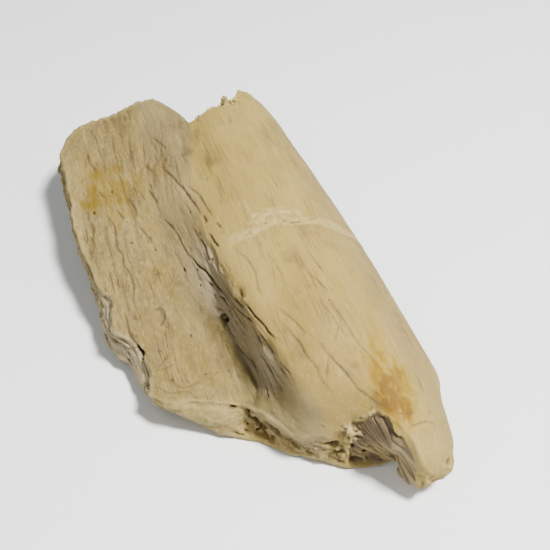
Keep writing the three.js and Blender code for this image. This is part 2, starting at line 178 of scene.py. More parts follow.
# Small pits as (x, y), with length along the grain, width and depth.
PITS = [
    ((3.7, 13.4), 1.5, 0.8, 1.0), ((14.4, 19.5), 1.2, 0.6, 0.7), ((19.3, 25.4), 1.1, 0.6, 0.6),
    ((-28, 16), 0.9, 0.8, 0.9), ((-28.3, 13), 0.8, 0.6, 0.6), ((-15, 16.7), 0.9, 0.6, 0.7),
    ((-36.3, 16.4), 0.8, 0.7, 0.7), ((40.4, 8.5), 0.8, 0.6, 0.8), ((28.5, -0.6), 0.8, 0.6, 0.6),
    ((52.7, 4.2), 0.7, 0.6, 0.6), ((18.3, 7.4), 0.9, 0.6, 0.8), ((-1.8, 6.4), 1.1, 0.9, 1.0),
    ((0.9, 10.1), 1.0, 0.6, 0.8), ((-5.4, 8.1), 1.6, 0.7, 1.0), ((-3.3, 10.6), 1.0, 0.6, 0.7),
    ((46.9, 35), 0.8, 0.6, 0.6), ((39.7, 27), 1.2, 0.8, 0.8), ((33, 33.8), 1.6, 0.9, 1.0),
    ((-31, -17.1), 0.8, 0.6, 0.6), ((-28.3, 25.2), 0.9, 0.7, 0.8),
]


# Colours of the bone, as linear shares of red, green and blue. Some of them stand for painted light and
# shade, as said at each.
LIGHT_TAN = (0.285, 0.205, 0.050)
TAN = (0.25, 0.175, 0.040)
PINK_TAN = (0.275, 0.182, 0.052)
YELLOW_TAN = (0.225, 0.158, 0.034)
# a light grey tan painted on the shaded steep wall of the trough as fill light, over the wall's own grey tone
FILL_LIGHT_GREY_TAN = (0.37, 0.31, 0.215)
OLIVE_GREY = (0.15, 0.113, 0.056)
OCHRE = (0.14, 0.085, 0.003)
# dark brown on the trough's bed along the foot of the ridge: painted shadow and dirt
TROUGH_SHADOW_AND_DIRT_BROWN = (0.08, 0.058, 0.020)
# the wing's greyer, darker tone: partly its own colour, partly painted shade where it faces away from the
# light
WING_TAN_AND_SHADE = (0.145, 0.106, 0.034)
ORANGE_TAN = (0.22, 0.13, 0.0)
ORANGE = (0.115, 0.052, 0.0)
PALE = (0.38, 0.295, 0.11)
CORE_BROWN = (0.13, 0.091, 0.048)
FIBRE_GREY = (0.23, 0.18, 0.108)
FIBRE_BROWN = (0.075, 0.048, 0.030)
# dark brown for the fine dark lines, and for dirt and painted shade in creases and cracks
DIRT_AND_SHADE = (0.07, 0.045, 0.02)
# near black deep in hollows, cracks and pits: painted shade and dirt
DEEP_SHADE_AND_DIRT = (0.02, 0.013, 0.008)

SPECULAR = 0.2
BUMP_STRENGTH = 0.85
BUMP_DEPTH = 0.16

# The camera: where it stands in metres, how it is turned, and its sensor and lens in millimetres.
CAMERA_PLACE = (-0.1747, 0.0441, 0.2026)
CAMERA_TILT = math.radians(43.9)
CAMERA_TURN = math.radians(-108)
CAMERA_SENSOR = 36
CAMERA_LENS = 58.9

# The picture's directions on the ground, in the part's frame.
RIGHT = Vector((math.cos(CAMERA_TURN), math.sin(CAMERA_TURN), 0))
AWAY = Vector((-math.sin(CAMERA_TURN), math.cos(CAMERA_TURN), 0))
UP = Vector((0, 0, 1))

# The lights: which way they stand, how far off and how wide in metres, and how strong in watts.
LIGHTS = {
    "key": (RIGHT * 8.5 - AWAY * 5 + UP * 20, 0.8, 0.12, 21),
    "side": (RIGHT * 20 - AWAY * 3 + UP * 12, 1.0, 0.7, 3),
    "fill": (-RIGHT * 5 - AWAY * 8 + UP * 14, 1.0, 0.8, 3.5),
}
SKY = (0.95, 0.98, 1)
SKY_STRENGTH = 0.2
FLOOR_WHITE = (0.78, 0.79, 0.77)
FLOOR_HALF_SIDE = 3  # metres


# ---------------------------------------------------------------------------- numbers

def smooth(low, high, value):
    """0 at low, 1 at high, and an even turn between. low may be the larger one."""
    t = np.clip((value - low) / (high - low), 0, 1)
    return t * t * (3 - 2 * t)


def along(points, value):
    """The height at `value` of the line through points (a, b) in order of a."""
    a, b = np.array(points, np.float32).T
    return np.interp(value, a, b).astype(np.float32)


def unit(vectors):
    return vectors / np.maximum(np.linalg.norm(vectors, axis=-1, keepdims=True), 1e-9)


# The rim of the dense bone around the notch, from the tongue's tip to the crumbly left side, as (x, y, z).
NOTCH_RIM = np.array([
    (-77, -25, 2), (-75.2, -24.3, 8), (-74.4, -23.9, 13), (-73.7, -23.6, 16.9), (-73, -23.1, 19.4),
    (-71, -22.1, 22), (-69.5, -21.2, 23), (-67.4, -19.9, 24.3), (-65.4, -19.3, 26), (-63.9, -18.1, 25.7),
    (-62.9, -17.3, 25.3), (-62.2, -15.9, 23.6), (-61.7, -14.9, 22), (-60.7, -14, 19.9), (-59.5, -11.5, 19.4),
    (-58, -10, 18.5),
], np.float32)
RIM_TOP = NOTCH_RIM[8:15]  # the part over the fibres, which has a crumbly lip

# The notch's face in the bar's near end: the way it looks, and the way the inner bone's fibres run in it.
NOTCH_FACE = unit(np.array([-0.45, 0.87, 0.0], np.float32))
FIBRE = unit(np.array([-0.72, -0.37, -0.58], np.float32))
FIBRE_ACROSS = unit(np.cross(NOTCH_FACE, FIBRE))

RANDOM = np.random.default_rng(41)
RANDOM_BELOW = np.random.default_rng(43)  # for the cracks on the underside and the flank
TABLE_SIDE = 64
TABLE = (RANDOM.random((TABLE_SIDE,) * 3) * 2 - 1).astype(np.float32)


def cell_corners(t):
    """A grid cell's corners, as 0 or 1 along each axis, with each one's share at the place t in the cell."""
    shares = [(1 - t[:, axis], t[:, axis]) for axis in range(3)]
    for i in (0, 1):
        for j in (0, 1):
            for k in (0, 1):
                yield i, j, k, shares[0][i] * shares[1][j] * shares[2][k]


def noise(points, period, seed):
    """Even noise between -1 and 1. period is one length or one for each axis."""
    q = points / np.asarray(period, np.float32) + np.float32(7.31 * seed + 500)
    base = np.floor(q).astype(np.int32)
    t = q - base
    t = t * t * (3 - 2 * t)
    x, y, z = np.stack([base, base + 1]).transpose(2, 0, 1) % TABLE_SIDE
    total = 0
    for i, j, k, share in cell_corners(t):
        total = total + TABLE[x[i], y[j], z[k]] * share
    return total


def clouds(points, period, seed, octaves=3):
    """Noise with finer noise on it."""
    period = np.asarray(period, np.float32)
    total = 0
    size = 1.0
    for octave in range(octaves):
        total = total + size * noise(points, period, seed + octave)
        period = period / 2.1
        size *= 0.5
    return total


def cells(points, size, seed):
    """How far each point is from the middle of its nearest cell, as a share of the cells' size."""
    q = points / np.asarray(size, np.float32) + np.float32(300 + 3.7 * seed)
    base = np.floor(q).astype(np.int32)
    nearest = np.full(len(points), 9.0, np.float32)
    for dx in (-1, 0, 1):
        for dy in (-1, 0, 1):
            for dz in (-1, 0, 1):
                cell = base + (dx, dy, dz)
                x, y, z = (cell % TABLE_SIDE).T
                middle = cell + 0.5 + 0.4 * np.stack([TABLE[x, y, z], TABLE[y, z, x], TABLE[z, x, y]], 1)
                nearest = np.minimum(nearest, np.linalg.norm(q - middle, axis=1))
    return nearest


# ---------------------------------------------------------------------------- the field

def blurred(field, sigma, passes=3):
    """The field blurred over sigma millimetres, by passes of a box filter along each axis."""
    radius = max(1, round((math.sqrt(12 / passes * (sigma / GRID) ** 2 + 1) - 1) / 2))
    width = 2 * radius + 1
    for axis in range(3):
        pad = [(0, 0)] * 3
        high = [slice(None)] * 3
        low = [slice(None)] * 3
        pad[axis] = (radius + 1, radius)
        high[axis] = slice(width, None)
        low[axis] = slice(0, -width)
        for _ in range(passes):
            total = np.cumsum(np.pad(field, pad, mode="edge"), axis=axis, dtype=np.float32)
            field = (total[tuple(high)] - total[tuple(low)]) / width
    return field


class Solid:
    """A solid as distances to its surface on a grid, negative inside."""

    def __init__(self, points, triangles):
        grid = vdb.FloatGrid.createLevelSetFromPolygons(
            points.astype(np.float32),
            triangles=triangles.astype(np.uint32),
            transform=vdb.createLinearTransform(GRID),
            halfWidth=REACH,
        )
        low = np.floor(points.min(0) / GRID).astype(int) - MARGIN
        high = np.ceil(points.max(0) / GRID).astype(int) + MARGIN
        self.start = low
        self.field = np.zeros(high - low + 1, np.float32)
        grid.copyToArray(self.field, ijk=tuple(int(v) for v in low))
        self.scores = np.zeros_like(self.field)  # how deep the cracks go
        self.lines = np.zeros_like(self.field)  # how dark they are painted: dirt and painted shade in the cracks

    def at(self, points, field):
        """The value of a field on the solid's grid at any points."""
        q = np.clip(points / GRID - self.start, 0, np.array(field.shape) - 1.001)
        base = np.floor(q).astype(np.int32)
        t = (q - base).astype(np.float32)
        total = 0
        for i, j, k, share in cell_corners(t):
            total = total + field[base[:, 0] + i, base[:, 1] + j, base[:, 2] + k] * share
        return total

    def window(self, low, high):
        """The part of the grid between two corners: its slices and its points."""
        first = np.maximum(np.floor(np.asarray(low) / GRID).astype(int) - self.start, 0)
        last = np.minimum(np.ceil(np.asarray(high) / GRID).astype(int) - self.start + 1, self.field.shape)
        part = tuple(slice(a, b) for a, b in zip(first, last))
        axes = [(np.arange(a, b) + s).astype(np.float32) * GRID for a, b, s in zip(first, last, self.start)]
        return part, axes

    def wear(self, low, high, share, depth):
        """Takes depth(points) off the surface between two corners where share(points) is 1, and nothing where
        it is 0. A negative depth adds to the surface."""
        part, axes = self.window(low, high)
        found = np.nonzero(np.abs(self.field[part]) < WEAR_REACH)
        points = np.stack([axis[i] for axis, i in zip(axes, found)], 1)
        shares = share(points)
        some = shares > 0.01
        if some.any():
            worn = shares[some] * depth(points[some])
            self.field[part][tuple(i[some] for i in found)] += worn.astype(np.float32)

    def cut(self, middle, reach, shape):
        """Takes a shape out. shape(offsets from the middle) is negative inside it."""
        part, axes = self.window(middle - reach, middle + reach)
        x, y, z = np.meshgrid(*axes, indexing="ij")
        offsets = np.stack([x - middle[0], y - middle[1], z - middle[2]], -1)
        self.field[part] = np.maximum(self.field[part], -shape(offsets))

    def fill(self, low, high, shape):
        """Adds a shape between two corners. shape(points) is negative inside it."""
        part, axes = self.window(low, high)
        points = np.stack(np.meshgrid(*axes, indexing="ij"), -1)
        self.field[part] = np.minimum(self.field[part], shape(points).astype(np.float32))

    def score(self, point, tangent, side, width, depth, dark):
        """Notes a short stretch of a crack with sloping sides, which scored() then takes off."""
        reach = depth + width + 0.5
        part, axes = self.window(point - reach, point + reach)
        away = np.stack(np.meshgrid(*axes, indexing="ij"), -1) - point
        stretch = np.abs(away @ tangent) < STEP
        off = np.abs(away @ side)
        self.scores[part] = np.maximum(self.scores[part], depth * smooth(width, 0, off) * stretch)
        self.lines[part] = np.maximum(self.lines[part], dark * smooth(width, 0.4 * width, off) * stretch)

    def scored(self):
        """Takes all the noted cracks off at once, so that crossing ones don't add up."""
        self.field += self.scores

    def skin(self):
        grid = vdb.FloatGrid(GRID * REACH)
        grid.transform = vdb.createLinearTransform(GRID)
        grid.copyFromArray(self.field, ijk=tuple(int(v) for v in self.start))
        points, _, quads = grid.convertToPolygons(isovalue=0.0, adaptivity=0.0)
        return points.astype(np.float32), quads.astype(np.int32)


def mesh_points(mesh):
    points = np.empty(len(mesh.vertices) * 3, np.float32)
    mesh.vertices.foreach_get("co", points)
    return points.reshape(-1, 3)


def packed_mesh(node):
    """A node's points in millimetres, each once, and its triangles."""
    mesh = node.data
    points = mesh_points(mesh) / MM
    mesh.calc_loop_triangles()
    corners = np.empty(len(mesh.loop_triangles) * 3, np.int32)
    mesh.loop_triangles.foreach_get("vertices", corners)
    _, first, same = np.unique(np.round(points, 3), axis=0, return_index=True, return_inverse=True)
    return points[first], same.reshape(-1)[corners].reshape(-1, 3)


def even_out(solid):
    """Rounds off the solid's flat faces but keeps its edges."""
    soft = blurred(solid.field, SMOOTHING)
    sharp = blurred(solid.field, EDGE_SMOOTHING)
    edge = smooth(0.12, 0.5, np.abs(soft - sharp))
    solid.field = sharp * edge + soft * (1 - edge)


# ---------------------------------------------------------------------------- cutting

def heights(solid):
    """The upper and the lower side's height over each grid column."""
    inside = solid.field < 0
    some = inside.any(axis=2)
    top = inside.shape[2] - 1 - np.argmax(inside[:, :, ::-1], axis=2)
    bottom = np.argmax(inside, axis=2)
    z = solid.start[2]
    upper = np.where(some, (top + z) * GRID, NO_TOP).astype(np.float32)
    lower = np.where(some, (bottom + z) * GRID, NO_BOTTOM).astype(np.float32)
    return upper, lower


class Relief:
    """The solid before anything is cut: where its surface lies and which way it faces."""

    def __init__(self, solid):
        self.solid = solid
        self.field = solid.field.copy()
        self.soft = blurred(self.field, 1.0, 2)
        self.upper, self.lower = heights(solid)

    def column(self, points, side):
        """The height of the upper or the lower side over each point."""
        i, j = (
            np.clip(np.round(points[:, axis] / GRID).astype(int) - self.solid.start[axis], 0, last - 1)
            for axis, last in enumerate(side.shape)
        )
        return side[i, j]

    def normals(self, points):
        """The way out of the solid at each point."""
        at = self.solid.at
        slopes = [at(points + way, self.soft) - at(points - way, self.soft) for way in NORMAL_STEPS]
        return unit(np.stack(slopes, 1))

    def snap(self, points):
        """The points moved onto the surface."""
        for _ in range(4):
            points = points - self.solid.at(points, self.field)[:, None] * self.normals(points)
        return points

    def place(self, points):
        """Points given as (x, y) on the upper side, or as (x, y, z) near the surface, moved onto it."""
        placed = []
        for p in points:
            if len(p) == 2:
                z = self.column(np.array([p]), self.upper)[0]
                p = (p[0], p[1], z if z > 0 else 10)
            placed.append(p)
        return self.snap(np.array(placed, np.float32))


def resampled(line):
    """Points about STEP apart on the line through the given points, with rounded corners."""
    lengths = np.concatenate([[0], np.cumsum(np.linalg.norm(np.diff(line, axis=0), axis=1))])
    where = np.linspace(0, lengths[-1], max(3, int(lengths[-1] / STEP) + 1))
    points = np.stack([np.interp(where, lengths, line[:, axis]) for axis in range(3)], 1)
    for _ in range(3):
        points[1:-1] = (points[:-2] + 2 * points[1:-1] + points[2:]) / 4
    return points.astype(np.float32)


def traced(relief, line, wander, seed, into=None):
    """Points on a line over the surface that wanders a little, with the ways along it, out of the surface and
    to its side. `into` is the way into the surface where that isn't straight down."""
    points = relief.place(line) if into is None else np.array(line, np.float32)
    points = resampled(points)
    tangents = unit(np.gradient(points, axis=0))
    if into is None:
        normals = relief.normals(points)
    else:
        normals = np.repeat(-unit(np.array([into], np.float32)), len(points), 0)
    sides = unit(np.cross(tangents, normals))
    shift = wander * noise(points, 4.5, seed + 3) + 0.3 * wander * noise(points, 1.1, seed + 5)
    points = points + sides * shift[:, None]
    if into is None:
        points = relief.snap(points)
    return points, tangents, normals, sides


def thinning(points, seed, fade=True):
    """How wide a line is at its points, from 0 to about 1.4: uneven, and thin at its ends if it fades."""
    share = np.linspace(0, 1, len(points))
    ends = np.minimum(1, 5 * np.minimum(share, 1 - share) + 0.15) if fade else np.ones(len(points))
    return ends * (1 + 0.4 * noise(points, 2.3, seed + 9))


def groove(solid, relief, line, width, depth, seed, into=None, fade=True, close=0.55):
    """Cuts an open groove along a line. At its bottom it narrows by the share `close`."""
    points, tangents, normals, sides = traced(relief, line, 0.3, seed, into)
    shares = thinning(points, seed, fade)
    for point, tangent, normal, side, share in zip(points, tangents, normals, sides, shares):
        half, deep = width * share / 2, depth * (0.35 + 0.65 * share)

        def shape(offsets):
            down = -(offsets @ normal)
            walls = np.abs(offsets @ side) - half * (1 - close * np.clip(down / deep, 0, 1))
            return np.maximum(np.maximum(walls, down - deep), np.abs(offsets @ tangent) - SLICE)

        solid.cut(point, max(deep, 0.6) + 0.5, shape)


def crack(solid, relief, line, width, depth, seed, wander=0.3, dark=1.0):
    """Scores a thin crack with sloping sides along a line over the surface."""
    points, tangents, _, sides = traced(relief, line, wander, seed)
    for point, tangent, side, share in zip(points, tangents, sides, thinning(points, seed)):
        wide = width * (0.75 + 0.25 * share)
        solid.score(point, tangent, side, wide, depth * share, dark * min(1, 0.4 + share))


def pit(solid, relief, at, length, width, depth):
    """Presses an oval hollow into the surface, longest along the grain."""
    point = relief.place([at])[0]
    out = relief.normals(point[None])[0]
    grain_way = np.array([1.0, 0.1, 0])
    tangent = unit(grain_way - out * (out @ grain_way))
    side = np.cross(out, tangent)

    def shape(offsets):
        squares = (offsets @ tangent / length) ** 2 + (offsets @ side / width) ** 2
        squares = squares + (offsets @ out / (2 * depth)) ** 2
        return (2 * np.sqrt(squares) - 1) * min(width / 2, depth)

    solid.cut(point, max(length, depth) + 0.6, shape)


def hollow(solid, middle, half, turn, seed):
    """Takes out an uneven egg shape. half is its half-sizes, turned about Z by `turn` degrees."""
    middle = np.array(middle, np.float32)
    cosine, sine = math.cos(math.radians(turn)), math.sin(math.radians(turn))
    spin = np.array([[cosine, sine, 0], [-sine, cosine, 0], [0, 0, 1]], np.float32)

    def shape(offsets):
        shares = (offsets @ spin.T) / np.array(half, np.float32)
        uneven = 0.4 * noise((offsets + middle).reshape(-1, 3), 1.8, seed).reshape(offsets.shape[:-1])
        return (np.linalg.norm(shares, axis=-1) - 1 + uneven) * min(half)

    solid.cut(middle, max(half) * 1.4, shape)


def inside_outline(points, outline):
    """How far points (a, b) are inside a closed outline; negative outside."""
    outline = np.array(outline, np.float32)
    following = np.roll(outline, -1, axis=0)
    nearest = np.full(len(points), 1e9, np.float32)
    crossings = np.zeros(len(points), bool)
    for p, q in zip(outline, following):
        edge = q - p
        share = np.clip(((points - p) @ edge) / (edge @ edge), 0, 1)
        nearest = np.minimum(nearest, np.linalg.norm(points - p - share[:, None] * edge, axis=1))
        between = (p[1] > points[:, 1]) != (q[1] > points[:, 1])
        if q[1] != p[1]:
            crossings ^= between & (points[:, 0] < p[0] + (points[:, 1] - p[1]) * edge[0] / edge[1])
    return np.where(crossings, nearest, -nearest)


# ---------------------------------------------------------------------------- where things are

def near_break(points, normals):
    """1 on the near break's face, 0 elsewhere."""
    back = points[:, 0] - along(NEAR_RIM, points[:, 1])
    return smooth(-0.3, -0.6, normals[:, 0]) * smooth(9, 5, back)


def far_break(points, normals):
    """1 on the far break's face, 0 elsewhere."""
    back = along(FAR_RIM, points[:, 1]) - points[:, 0]
    return smooth(0.3, 0.6, normals[:, 0]) * smooth(9, 5, back)


def far_core(points, relief):
    """0 in the dense outer bone of the far break's face and 1 in the spongy bone inside."""
    back = points - np.array([4, 0, 0], np.float32)
    z = points[:, 2]
    cover = np.minimum(relief.column(back, relief.upper) - z, z - relief.column(back, relief.lower))
    return smooth(1.2, 2.6, cover)


def fibre_frame(points):
    return np.stack([points @ FIBRE, points @ FIBRE_ACROSS, points @ NOTCH_FACE], 1).astype(np.float32)


def notch(points, normals):
    """1 where the dense bone is gone from the bar's near end and the inner bone shows."""
    x, y, z = points.T
    rim_y = np.interp(x, NOTCH_RIM[:, 0], NOTCH_RIM[:, 1])
    rim_z = np.interp(x, NOTCH_RIM[:, 0], NOTCH_RIM[:, 2])
    top_skin = smooth(0, -1.2, y - rim_y)  # the tongue's upper skin starts just behind the rim
    below_rim = smooth(-0.1, 0.5, rim_z - z + 0.5 * noise(points, 1.6, 12) - 2 * top_skin)
    looking = smooth(-0.1, 0.2, normals @ NOTCH_FACE)
    ends = smooth(-57.5, -59, x) * smooth(-26.5, -24.5, y) * smooth(-12.4, -13.4, y) * smooth(1.2, 2.6, z)
    return below_rim * looking * ends


def crumbs(points):
    """1 on the crumbs around the notch: a strip down its left, a clump on it and the lip over the fibres."""
    x, y, z = points.T
    strip = smooth(1.3, 0.4, np.abs(y + 12.8 + 0.7 * noise(points, 2.2, 35)))
    strip = 0.7 * strip * smooth(3, 5, z) * smooth(18, 16, z)
    cap = smooth(3, 1.4, np.hypot(y + 12.6, z - 17))
    left = np.maximum(strip, cap) * smooth(-57.5, -58.5, x) * smooth(20.6, 19.6, z)
    top_x = np.interp(y, RIM_TOP[:, 1], RIM_TOP[:, 0])
    top_z = np.interp(y, RIM_TOP[:, 1], RIM_TOP[:, 2])
    on_top = smooth(1.1, 0.4, np.hypot(top_x - x, top_z - z) + 0.3 * noise(points, 1.5, 37))
    return np.maximum(left, on_top * smooth(-19.8, -18.8, y) * smooth(-13, -14, y))


def fibre_gaps(points):
    """1 in the furrows between the notch's fibres and 0 on the fibres."""
    q = fibre_frame(points)
    wide = smooth(0.32, 0.04, np.abs(noise(q, (26, 1.7, 5), 2)))
    fine = smooth(0.3, 0.04, np.abs(noise(q, (15, 0.95, 3), 5)))
    return np.maximum(wide, 0.55 * fine)


def notch_depth(points):
    """How far the inner bone lies back in the notch: less on the tongue, more just under the rim."""
    x, _, z = points.T
    on_tongue = smooth(-66.5, -70, x)
    rim_z = np.interp(x, NOTCH_RIM[:, 0], NOTCH_RIM[:, 2])
    under_rim = smooth(2.6, 0.8, rim_z - z) * smooth(-72, -70, x)
    depth = 0.45 * (1 - on_tongue) + 0.5 * under_rim + (0.75 - 0.45 * on_tongue) * fibre_gaps(points)
    return depth + 0.4 * (1 - 0.6 * on_tongue) * noise(fibre_frame(points), (12, 4, 4), 8)


def fill_out(solid):
    """Adds what the solid is too lean for: bone behind the notch's fibres, the lip's end and the tongue's
    sides."""
    middle = np.array([-60.8, -12.3, 10], np.float32)
    outward = unit(np.array([-0.91, 0.39, -0.13], np.float32))

    def behind_fibres(points):
        y, z = points[..., 1], points[..., 2]
        sides = np.maximum.reduce([y + 12, -21 - y, z - 17, 2.5 - z])
        return np.maximum((points - middle) @ outward, sides)

    solid.fill((-67, -22, 1), (-55, -11, 19), behind_fibres)

    def egg(middle, half):
        def shape(points):
            return (np.linalg.norm((points - middle) / half, axis=-1) - 1) * min(half)
        return shape

    # the end of the lip under the notch, and the tongue's right corner
    solid.fill((-68, -25, 1), (-60, -17, 8), egg((-63.8, -20.9, 3.4), (2.6, 2.6, 1.8)))
    solid.fill((-79, -38, 5), (-67, -26, 17), egg((-72.4, -31, 10.6), (4.3, 4.6, 4.8)))

    def tongue_side(points):
        x, y, z = points.T
        return smooth(-67, -70, x) * smooth(-30, -26, y) * smooth(1, 4, z) * smooth(14, 10, z)

    solid.wear((-80, -32, 0), (-66, -20, 15), tongue_side, lambda points: -0.7)


def near_zones(points):
    """Parts of the near break's face, each from 0 to 1: the outer sheet, the cells beside it, and the worn
    foot of the trough's wall."""
    _, y, z = points.T
    sheet = smooth(8.2, 9.6, y + 0.4 * (z - 5))
    cellular = (1 - sheet) * smooth(1.6, 3.4, y) * smooth(11, 9, z + 0.5 * y - 2) * smooth(1.6, 3, z)
    foot = smooth(3.4, 1.6, y) * smooth(-12.6, -11.4, y) * smooth(11.5, 8.5, z) * smooth(1.6, 3, z)
    return sheet, cellular, foot


def scar(points):
    """1 on the pale scar across the bar, which is broken up along its edges."""
    x, y, z = points.T
    off = np.abs(x - along(SCAR, y) + 1.2 * noise(points, (3, 6, 6), 81))
    width = SCAR_WIDTH * (1 + 0.6 * noise(points, (9, 7, 9), 82))
    patch = np.hypot((x - 4.2) / 3.2, (y + 14) / 8) + 0.5 * clouds(points, (2.5, 3, 3), 83)
    across = smooth(8, 14, z) * smooth(3, -2, y)
    return np.maximum(smooth(width + 0.5, width - 0.5, off), smooth(1.1, 0.7, patch)) * across


def wear_breaks(solid, relief):
    """Roughens the faces of the two breaks: layers, cells and worn bone near, spongy bone far."""

    def near_face(points):
        normals = relief.normals(points)
        return near_break(points, normals) * (1 - notch(points, normals))

    def near_face_depth(points):
        x, y, z = points.T
        sheet, cellular, foot = near_zones(points)
        cover = relief.column(points + (3, 0, 0), relief.upper) - z
        across = z + 0.16 * y + 0.9 * noise(points, (6, 9, 4), 19)
        layers = 0.3 * clouds(np.stack([x / 4, y / 12, across / 1.5], 1), 1, 9)
        layers = layers + 0.12 * noise(points, 0.9, 20)
        depth = sheet * (layers + 0.25 * clouds(points, 5, 10, 2) + 0.6 * smooth(1.3, 0.5, cover))
        bent = points + 0.9 * np.stack([noise(points, 2.4, seed) for seed in (61, 62, 63)], 1)
        pockets = 1.5 * smooth(0.66, 0.36, cells(bent, 2.1, 2))
        depth += cellular * (0.4 + pockets + 0.6 * clouds(points, 1.3, 3))
        streaks = noise(np.stack([x, y + 0.5 * z, z], 1), (3, 1.4, 7), 16)
        worn = 0.45 + 0.8 * clouds(points, (3.2, 3.2, 2.2), 13, 4)
        return depth + foot * (worn + 0.3 * streaks + 0.4 * clouds(points, 1.1, 14))

    def far_face_depth(points):
        core = far_core(points, relief)
        holes = smooth(0.6, 0.3, cells(points * (0.6, 1, 1), 1.9, 4))
        return core * (holes + 0.25 * clouds(points, 2.6, 5)) + 0.3 * clouds(points, 1.8, 7, 2)

    def on_notch(points):
        return notch(points, relief.normals(points))

    def far_face(points):
        return far_break(points, relief.normals(points))

    def stubs(points):
        x, y, _ = points.T
        return smooth(60, 62, x) * smooth(-22, -19, y) * smooth(-3.5, -5, y)

    solid.wear((-64, -14, -3), (-28, 45, 20), near_face, near_face_depth)
    solid.wear((-79, -28, 1), (-56, -11, 29), on_notch, notch_depth)
    solid.wear((52, -45, -3), (80, 45, 36), far_face, far_face_depth)
    solid.wear(
        (57, -23, 20), (72, -3, 34), stubs,
        lambda points: smooth(0.55, 0.3, cells(points, 1.7, 9)) + 0.5 * clouds(points, 1.2, 17, 2),
    )


def wear_upper_side(solid):
    """Roughens a patch of the wing by the trough, raises the scar, and steps thin leaves of bone down the
    trough's wall under the ridge."""

    def rough_patch(points):
        x, y, _ = points.T
        return smooth(1.2, 0.6, np.hypot((x - 43) / 4.5, (y - 14) / 7))

    def scar_depth(points):
        return 0.3 * smooth(0.1, 0.6, clouds(points, 1.3, 84, 2)) - 0.12

    def under_ridge(points):
        x, y, _ = points.T
        from_ridge = y - along(RIDGE, x)
        low_edge = along(LEAVES_EDGE, x)
        ends = smooth(-50, -42, x) * smooth(14, -2, x)
        high_edge = smooth(-0.3, 0.5, from_ridge + 0.7 * noise(points, (5, 2, 2), 73))
        return ends * high_edge * smooth(low_edge + 1, low_edge - 1, from_ridge)

    def leaves_depth(points):
        x, _, z = points.T
        height = (z + 1.6 * noise(points, (12, 5, 5), 71) - 0.06 * x) / 1.9
        step = height - np.floor(height)
        ledges = 0.6 * smooth(0.0, 0.9, step) * smooth(1.0, 0.93, step)
        broken_up = smooth(-0.5, 0.3, noise(points, (9, 3, 3), 74))
        return ledges * broken_up + 0.3 * clouds(points, (6, 1, 1), 72, 3)

    def patch_depth(points):
        return 0.3 * clouds(points, (1.6, 1.1, 1.1), 38)

    solid.wear((24, 6, 10), (56, 24, 34), rough_patch, patch_depth)
    solid.wear((-6, -42, 6), (10, 4, 34), scar, scar_depth)
    solid.wear((-52, -5, 12), (16, 12, 34), under_ridge, leaves_depth)


def wear_wing_edge(solid, relief):
    """Gives the wing's edge its thin layers, roughens the swelling under its near corner, and takes a flake
    off beside it."""

    def edge(points):
        return smooth(0.5, 0.85, relief.normals(points)[:, 1])

    def layers_depth(points):
        x, y, z = points.T
        cover = relief.column(points - (0, 3, 0), relief.upper) - z  # how deep below the wing's upper sheet
        steps = np.abs(noise(np.stack([x / 16, y / 3, cover / 0.9 + 0.5 * noise(points, 9, 3)], 1), 1, 4))
        swelling = smooth(2, -4, x) * smooth(-30, -24, x) * smooth(0.9, 2.2, cover) * smooth(26, 30, y)
        rough = 0.9 * clouds(points * (0.45, 1, 1), 2.0, 21) + 0.8 * (0.4 - steps)
        return 0.9 * (0.35 - steps) * smooth(0.4, 1.0, cover) + 0.55 * swelling * rough

    def in_flake(points):
        return smooth(-0.1, 0.35, inside_outline(points[:, :2], FLAKE))

    solid.wear((-34, 22, -3), (66, 45, 36), edge, layers_depth)
    # sharp towards the bar and fading out the other way
    solid.wear((-14, 19, 8), (-1, 29, 22), in_flake, lambda points: 0.6 * smooth(26.2, 22.5, points[:, 1]))


def wear_tongue(solid):
    """Makes the tongue's tip crumbly, with a chip in its right corner, and stands crumbs around the notch."""

    def tip(points):
        x, _, z = points.T
        under = smooth(-73.6, -75.2, x) * smooth(13.5, 11.5, z)
        chip = smooth(3, 1.6, np.linalg.norm((points - (-75.2, -32.8, 13.8)) * (1, 1, 0.8), axis=1))
        return np.maximum(under, chip)

    def tip_depth(points):
        lowest = smooth(9, 5, points[:, 2])
        return 0.15 + 0.9 * lowest + 0.4 * clouds(points, 1.5, 31)

    solid.wear((-80, -42, -3), (-68, -20, 24), tip, tip_depth)
    solid.wear((-68, -21, 2), (-56, -9, 28), crumbs, lambda points: -0.25 - 1.1 * clouds(points, 1.3, 34, 2))


